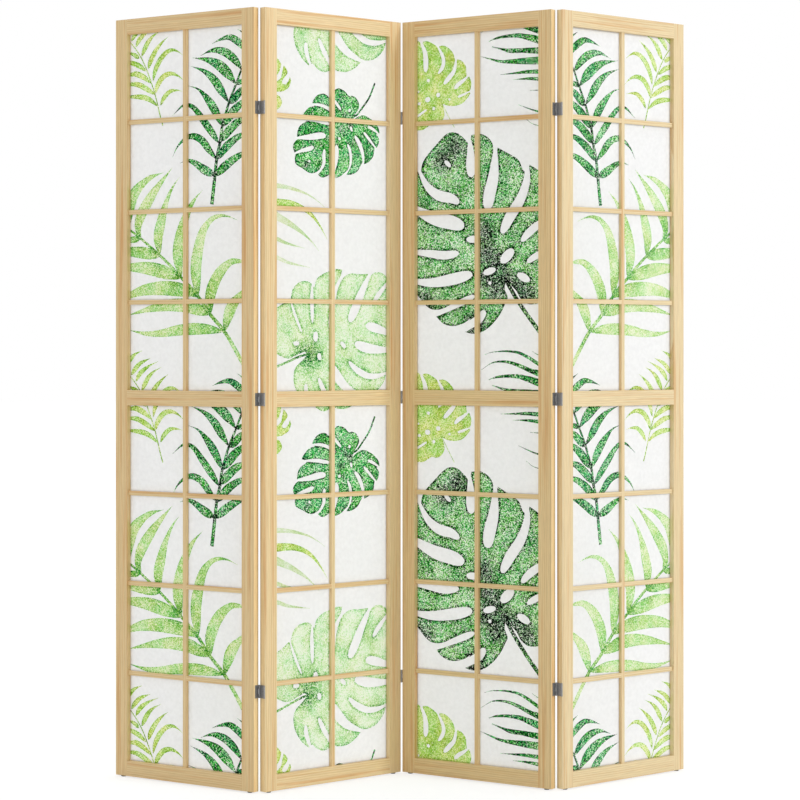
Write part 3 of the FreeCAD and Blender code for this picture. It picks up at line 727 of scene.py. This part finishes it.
def shifted(patch, down, mirror):
    """A patch moved down the roll, and mirrored if so."""
    def moved(points):
        return [Vector((MIRROR_SHIFT - point.x if mirror else point.x, point.y - down)) for point in points]
    return Patch(patch.ink, moved(patch.outline), [moved(cut) for cut in patch.cuts], moved(patch.hearts),
                 patch.broad)


def anticlockwise(outline):
    """The outline in anticlockwise order."""
    doubled_area = sum(start.x * end.y - end.x * start.y
                       for start, end in zip(outline, outline[1:] + outline[:1]))
    return outline if doubled_area > 0 else outline[::-1]


def corners(outline):
    """The lowest and the highest corner of the rectangle round an outline."""
    across, up = zip(*outline)
    return Vector((min(across), min(up))), Vector((max(across), max(up)))


def reaches(outline, low, high):
    """Whether an outline comes into a rectangle."""
    lowest, highest = corners(outline)
    return lowest.x < high.x and highest.x > low.x and lowest.y < high.y and highest.y > low.y


def beside(outline):
    """Points one step to either side of a closed outline."""
    points = []
    for before, point, after in zip(outline[-1:] + outline[:-1], outline, outline[1:] + outline[:1]):
        run = (after - before).normalized()
        side = Vector((-run.y, run.x)) * RIM_STEP
        points += [point + side, point - side]
    return points


def filling(outline):
    """Points in staggered rows over a broad leaf."""
    lowest, highest = corners(outline)
    rows = int((highest.y - lowest.y) / FILL_STEP)
    columns = int((highest.x - lowest.x) / FILL_STEP)
    return [lowest + Vector(((column + 0.5 * (row % 2)) * FILL_STEP, row * FILL_STEP))
            for row in range(1, rows) for column in range(1, columns)]


def search_tree(points):
    """A tree that finds the points near a place."""
    tree = KDTree(max(1, len(points)))
    for number, point in enumerate(points):
        tree.insert(point.to_3d(), number)
    tree.balance()
    return tree


def roomy(points, rim_tree, low, high):
    """The points on the sheet that have room from its edge, from the rims and from one another."""
    tree = search_tree(points)
    kept = {}
    for number, point in enumerate(points):
        place = point.to_3d()
        if not (low.x + EDGE_ROOM < point.x < high.x - EDGE_ROOM
                and low.y + EDGE_ROOM < point.y < high.y - EDGE_ROOM):
            continue
        if rim_tree.find(place)[2] < RIM_ROOM:
            continue
        if any(other in kept for _, other, _ in tree.find_range(place, POINT_ROOM)):
            continue
        kept[number] = point
    return list(kept.values())


def ink_number(outlines):
    """The ink of the last leaf that covers a triangle and isn't cut out there, or the bare paper."""
    cut_out = {patch for patch, is_cut in outlines if is_cut}
    inks = [INKS.index(patch.ink) for patch, is_cut in outlines if not is_cut and patch not in cut_out]
    return inks[-1] if inks else 0


def printed_sheet(low, high, patches):
    """The triangles of one sheet, with ink, distance to the rim and distance to a junction."""
    places = [low, Vector((high.x, low.y)), high, Vector((low.x, high.y))]
    # The first face is the sheet, and the others are the outlines of leaves and of their cuts.
    faces, meaning = [[0, 1, 2, 3]], [None]
    rims, hearts, inside = [], [], []
    for patch in patches:
        if not reaches(patch.outline, low, high):
            continue
        hearts += patch.hearts
        for number, outline in enumerate([patch.outline] + patch.cuts):
            faces.append(list(range(len(places), len(places) + len(outline))))
            meaning.append((patch, number > 0))
            places += anticlockwise(outline)
            rims += evened(outline, RIM_MEASURE_STEP)
            inside += beside(outline)
        if patch.broad:
            inside += filling(patch.outline)
    rim_tree = search_tree(rims)
    places += roomy(inside, rim_tree, low, high)
    points, _, triangles, _, _, origins = delaunay_2d_cdt(places, [], faces, 0, MERGE_DISTANCE)
    on_sheet = [(triangle, ink_number([meaning[face] for face in origin if face > 0]))
                for triangle, origin in zip(triangles, origins) if 0 in origin]
    # The leaves reach past the sheet, and only the points on the sheet stay.
    kept = sorted({number for triangle, _ in on_sheet for number in triangle})
    new_number = {number: order for order, number in enumerate(kept)}
    points = [points[number] for number in kept]
    triangles = [[new_number[number] for number in triangle] for triangle, _ in on_sheet]
    rim = [rim_tree.find(point.to_3d())[2] if rims else FAR for point in points]
    heart = [min([(point - spot).length for spot in hearts], default=FAR) for point in points]
    return points, triangles, [ink for _, ink in on_sheet], rim, heart


def open_sides(triangles, inks):
    """The sides that only one triangle has, with that triangle's ink."""
    sides = {}
    for triangle, ink in zip(triangles, inks):
        for start, end in zip(triangle, triangle[1:] + triangle[:1]):
            if (end, start) in sides:
                del sides[(end, start)]
            else:
                sides[(start, end)] = ink
    return sides


def printed_slabs(panel, patches):
    """Both sheets as closed thin slabs: vertices, faces, the faces' inks and the points' readings."""
    centre, turn = panel_centre(panel), panel_turn(panel)
    sideways = Vector((math.cos(turn), math.sin(turn), 0.0))
    backwards = Vector((-math.sin(turn), math.cos(turn), 0.0))
    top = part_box(f"panel_{panel}_top_rail")[0].z
    middle_low, middle_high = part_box(f"panel_{panel}_middle_rail")
    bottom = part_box(f"panel_{panel}_bottom_rail")[1].z
    spans = ((middle_high.z - PAPER_LAP, top + PAPER_LAP), (bottom - PAPER_LAP, middle_low.z + PAPER_LAP))
    flat_base = Vector((centre.x, centre.y, top))
    half = SHEET_HALF_WIDTH / MM
    vertices, faces, face_inks, readings = [], [], [], []
    for low_z, high_z in spans:
        foot = (low_z + PAPER_LAP - top) / MM
        low, high = Vector((-half, (low_z - top) / MM)), Vector((half, (high_z - top) / MM))
        points, triangles, inks, rim, heart = printed_sheet(low, high, patches)
        front = len(vertices)
        back = front + len(points)
        for depth, strength in ((PAPER_FRONT, 1.0), (PAPER_BACK, BACK_STRENGTH)):
            for number, point in enumerate(points):
                vertices.append(flat_base + sideways * point.x * MM + backwards * depth
                                + Vector((0.0, 0.0, point.y * MM)))
                readings.append((rim[number], heart[number], strength, PAINTED_LIGHT_INK_POWERS[panel],
                                 point.x, point.y - foot))
        for triangle, ink in zip(triangles, inks):
            faces.append([front + number for number in triangle])
            faces.append([back + number for number in reversed(triangle)])
            face_inks += [ink, ink]
        for (start, end), ink in open_sides(triangles, inks).items():
            faces.append([front + end, front + start, back + start, back + end])
            face_inks.append(ink)
    return vertices, faces, face_inks, readings


def printed_paper(panel, patches, inks):
    """The paper of a panel, printed in front and showing through behind."""
    vertices, faces, face_inks, readings = printed_slabs(panel, patches)
    mesh = bpy.data.meshes.new(f"panel_{panel}_printed_paper")
    mesh.from_pydata(vertices, [], faces)
    for name, values in zip(READINGS, zip(*readings)):
        mesh.attributes.new(name, "FLOAT", "POINT").data.foreach_set("value", values)
    for material in inks:
        mesh.materials.append(material)
    mesh.polygons.foreach_set("material_index", face_inks)
    sheet = placed(mesh.name, mesh)
    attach(sheet, f"panel_{panel}")
    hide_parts(f"panel_{panel}_paper_sheets")


def reading(tree, name):
    """A number stored on the mesh."""
    return add(tree, "Attribute", attribute_name=name).outputs["Fac"]


def paper_tone(tree):
    """White paper with faint clouds of fibre."""
    cloud = noise(tree, here(tree), scale=110.0, detail=5.0)
    return blend_colours(tree, spread(tree, cloud, 0.35, 0.65), colour(248, 248, 248), colour(253, 253, 253))


def beside_wood(tree):
    """How far the paper lies from the nearest frame edge or bar, in millimetres."""
    bar = BAR_WIDTH / MM
    opening = (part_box("panel_1_top_rail")[0].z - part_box("panel_1_middle_rail")[1].z) / MM
    cell = (opening - 3 * bar) / 4
    across = calculate(tree, "ABSOLUTE", reading(tree, "across"))
    sideways = calculate(tree, "MINIMUM", calculate(tree, "SUBTRACT", across, bar / 2),
                         calculate(tree, "SUBTRACT", OPENING_HALF_WIDTH / MM, across))
    up = calculate(tree, "MODULO", reading(tree, "up"), cell + bar)
    upwards = calculate(tree, "MINIMUM", up, calculate(tree, "SUBTRACT", cell, up))
    return calculate(tree, "MINIMUM", sideways, upwards)


def paper_surface(tree, tone):
    """Paper that sends part of the light through, with painted shade where it lies against the wood: within
    a few millimetres of the frame and bars its tone is deepened and darkened.
    """
    gap = beside_wood(tree)
    # Painted shade beside the wood: the tone multiplied by itself deepens the ink, and a darkening follows.
    tone = blend_colours(tree, spread(tree, gap, 0.0, 4.5, 0.9, 0.0), tone, tone, "MULTIPLY")
    tone = toned(tree, tone, spread(tree, gap, 0.0, 3.5, 0.84, 1.0))
    values = {"Base Color": tone, "Roughness": 0.9, "Specular IOR Level": 0.1}
    face = add(tree, "BsdfPrincipled", values)
    through = add(tree, "BsdfTranslucent", {"Color": tone})
    both = add(tree, "MixShader", {0: 0.68, 1: face.outputs[0], 2: through.outputs[0]})
    add(tree, "OutputMaterial", {"Surface": both.outputs[0]})


def paper_material():
    """The unprinted paper."""
    material, tree = new_material("white_paper")
    paper_surface(tree, paper_tone(tree))
    return material


def ink_material(name, tones, base, rim, heart, contrast, heart_colour=1.0):
    """Mosaic ink: small cells of mixed tone, darker at the rim and at the junctions.

    tones, from dark to light, are each a share and a screen colour. rim and heart are how many
    millimetres the darkening reaches and how strong it is. heart_colour is how much of the
    colour stays at a junction."""
    material, tree = new_material(f"{name}_ink")
    place = here(tree)
    cells = add(tree, "TexVoronoi", {"Vector": place, "Scale": 560.0})
    chance = add(tree, "SeparateColor", {0: cells.outputs["Color"]}).outputs[0]
    cloud = noise(tree, place, scale=22.0)
    level = calculate(tree, "ADD", base, spread(tree, cloud, 0.3, 0.7, -0.19, 0.19))
    to_heart = reading(tree, "heart")
    shade = calculate(tree, "ADD", spread(tree, reading(tree, "rim"), 0.0, *rim, 0.0),
                      spread(tree, to_heart, 0.0, *heart, 0.0, "SMOOTHSTEP"))
    # The lightest cells keep their tone, so that the rim and the junctions are speckled too.
    shaded = calculate(tree, "SUBTRACT", 1.0, calculate(tree, "POWER", chance, 3.0))
    level = calculate(tree, "SUBTRACT", level, calculate(tree, "MULTIPLY", shade, shaded))
    dotted = calculate(tree, "SUBTRACT", chance, 0.5)
    level = calculate(tree, "ADD", level, calculate(tree, "MULTIPLY", dotted, contrast))
    ramp = add(tree, "ValToRGB", {0: level})
    elements = ramp.color_ramp.elements
    while len(elements) < len(tones):
        elements.new(0.5)
    for element, (share, *tone) in zip(elements, tones):
        element.position = share
        element.color = colour(*tone)
    drift = noise(tree, place, scale=31.0, detail=1.0)
    ink = add(tree, "HueSaturation",
              {"Hue": spread(tree, drift, 0.3, 0.7, 0.478, 0.522),
               "Saturation": spread(tree, to_heart, 0.0, heart[0], heart_colour, 1.0, "SMOOTHSTEP"),
               "Color": ramp.outputs[0]}).outputs[0]
    # Painted light: the ink is made paler or darker by its panel's power.
    ink = add(tree, "Gamma", {"Color": ink, "Gamma": reading(tree, "painted_light_ink_power")}).outputs[0]
    paper_surface(tree, blend_colours(tree, reading(tree, "ink_strength"), paper_tone(tree), ink))
    return material


def ink_materials():
    """The materials in the order of INKS."""
    lime = ((0.0, 118, 168, 36), (0.3, 170, 213, 70), (0.65, 212, 237, 136), (1.0, 248, 252, 214))
    pale = ((0.0, 20, 110, 50), (0.25, 84, 182, 76), (0.6, 190, 232, 156), (1.0, 248, 253, 240))
    leaf = ((0.0, 22, 26, 28), (0.2, 34, 92, 50), (0.45, 72, 180, 72), (0.7, 144, 232, 122),
            (1.0, 248, 255, 242))
    deep = ((0.0, 18, 28, 26), (0.22, 24, 110, 64), (0.5, 50, 190, 82), (0.75, 118, 236, 124),
            (1.0, 240, 254, 234))
    faint = ((0.0, 152, 196, 106), (0.5, 214, 232, 182), (1.0, 246, 249, 240))
    fresh = ((0.0, 54, 154, 58), (0.3, 130, 205, 84), (0.65, 196, 233, 142), (1.0, 246, 251, 226))
    return (paper_material(),
            ink_material("lime", lime, 0.70, rim=(3.0, 0.34), heart=(16.0, 0.24), contrast=0.95),
            ink_material("pale", pale, 0.89, rim=(7.0, 0.44), heart=(64.0, 0.66), contrast=0.70),
            ink_material("leaf", leaf, 0.655, rim=(7.0, 0.86), heart=(44.0, 0.74), contrast=1.15,
                         heart_colour=0.45),
            ink_material("deep", deep, 0.585, rim=(4.2, 0.56), heart=(16.0, 0.46), contrast=1.15,
                         heart_colour=0.6),
            ink_material("faint", faint, 0.72, rim=(3.0, 0.20), heart=(16.0, 0.20), contrast=0.50),
            ink_material("fresh", fresh, 0.82, rim=(3.4, 0.32), heart=(60.0, 0.44), contrast=0.80))


def print_papers():
    """Cut the leaves into the paper of all four panels."""
    inks = ink_materials()
    rolls = {1: frond_roll(), 2: split_leaf_roll(), 3: mixed_roll(), 4: frond_roll()}
    for panel, roll in rolls.items():
        copies = [shifted(patch, number * ROLL_REPEAT, panel == MIRRORED_PANEL)
                  for number in ROLL_COPIES for patch in roll]
        printed_paper(panel, copies, inks)


# Studio

def white_for_the_eye(tree, seen, other):
    """seen for camera, mirror and glass rays, and other for the rays that light the object."""
    path = add(tree, "LightPath").outputs
    eye = calculate(tree, "MAXIMUM", path["Is Camera Ray"], path["Is Glossy Ray"])
    eye = calculate(tree, "MAXIMUM", eye, path["Is Transmission Ray"])
    return add(tree, "MixShader", {0: eye, 1: other, 2: seen}).outputs[0]


def studio_world():
    """Soft light from all round, stronger behind the screen, where the paper lets it through."""
    world = bpy.data.worlds.new("studio")
    bpy.context.scene.world = world
    world.use_nodes = True
    tree = world.node_tree
    tree.nodes.clear()
    depth = parts_of(tree, add(tree, "TexCoord").outputs["Generated"])[1]
    in_front, behind = 0.685, 1.08
    level = spread(tree, depth, -0.6, 0.6, in_front, behind)
    soft = add(tree, "Background", {"Color": WHITE, "Strength": level})
    white = add(tree, "Background", {"Color": WHITE, "Strength": 1.0})
    surface = white_for_the_eye(tree, white.outputs[0], soft.outputs[0])
    add(tree, "OutputWorld", {"Surface": surface})


def studio_floor():
    """A pale floor that shows white to the eye and keeps the soft shadow of the screen."""
    reach = 40.0
    square = ((-reach, -reach, 0.0), (reach, -reach, 0.0), (reach, reach, 0.0), (-reach, reach, 0.0))
    mesh = bpy.data.meshes.new("studio_floor")
    mesh.from_pydata(square, [], [(0, 1, 2, 3)])
    floor = placed("studio_floor", mesh)
    material, tree = new_material("studio_floor")
    plain = add(tree, "BsdfDiffuse", {"Color": (0.8, 0.8, 0.8, 1.0)})
    dim = add(tree, "BsdfDiffuse", {"Color": (0.4, 0.4, 0.4, 1.0)})
    glow = add(tree, "Emission", {"Color": WHITE, "Strength": 0.68})
    seen = add(tree, "AddShader", {0: dim.outputs[0], 1: glow.outputs[0]})
    surface = white_for_the_eye(tree, seen.outputs[0], plain.outputs[0])
    add(tree, "OutputMaterial", {"Surface": surface})
    mesh.materials.append(material)


def studio_lamp():
    """A soft lamp at the right, so that the third panel throws its shadow on the second one's stile."""
    data = bpy.data.lights.new("key_lamp", "AREA")
    data.shape = "SQUARE"
    data.size = 2.25
    data.energy = 880.0
    lamp = placed("key_lamp", data)
    place, target = Vector((13.95, -9.225, 5.85)), Vector((0.0, 0.0, 0.85))
    lamp.location = place
    lamp.rotation_euler = (target - place).to_track_quat("-Z", "Y").to_euler()


def photograph_camera():
    """The viewing point worked out from the twelve frame corners of the photograph."""
    data = bpy.data.cameras.new("photograph")
    data.sensor_width = 36.0
    data.lens = 115.94
    data.shift_y = -0.0655
    camera = placed("photograph", data)
    camera.location = (-0.3494, -5.7066, 0.9638)
    camera.rotation_euler = (math.radians(90.0), 0.0, math.radians(-3.396))
    bpy.context.scene.camera = camera


paint_wood()
paint_hardware()
print_papers()
studio_world()
studio_floor()
studio_lamp()
photograph_camera()
bpy.context.scene.view_settings.view_transform = "Standard"
